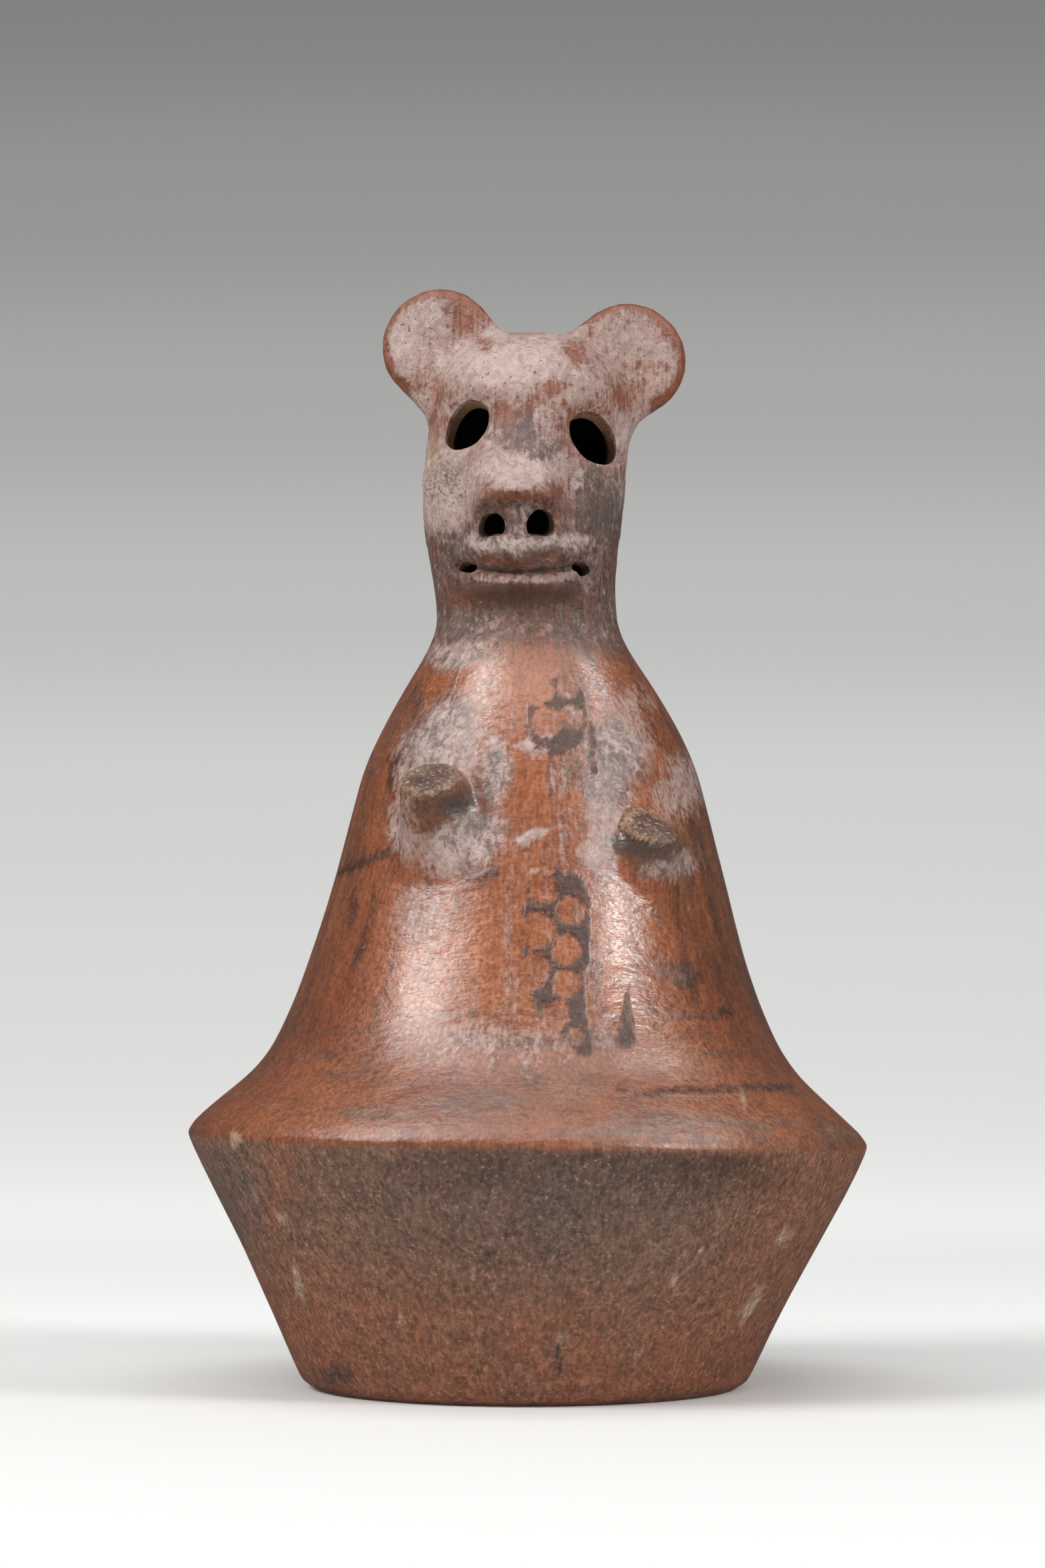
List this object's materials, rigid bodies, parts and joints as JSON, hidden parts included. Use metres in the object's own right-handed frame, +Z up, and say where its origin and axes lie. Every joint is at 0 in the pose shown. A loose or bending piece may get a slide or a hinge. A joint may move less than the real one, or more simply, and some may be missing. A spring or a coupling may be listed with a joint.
{
  "type": "animal effigy vessel",
  "caption": "Hand-built earthenware effigy vessel: bell-shaped body on a carinated base, hollow animal head with pierced eyes, snout and round ears, and broken forelimb stumps.",
  "frame": {"origin": "middle of the flat underside, on the surface the vessel stands on", "axes": "+Z up through the head, the face looks along -Y, +X is to the right of a viewer who faces it"},
  "size_m": [0.1512, 0.1512, 0.2497],
  "materials": {
    "burnished_clay": "burnished red slip with dark resist paint, pale bloom on the head and smoke clouds on the base"
  },
  "bodies": {
    "root": {"vessel": "burnished_clay"}
  },
  "joints": []
}
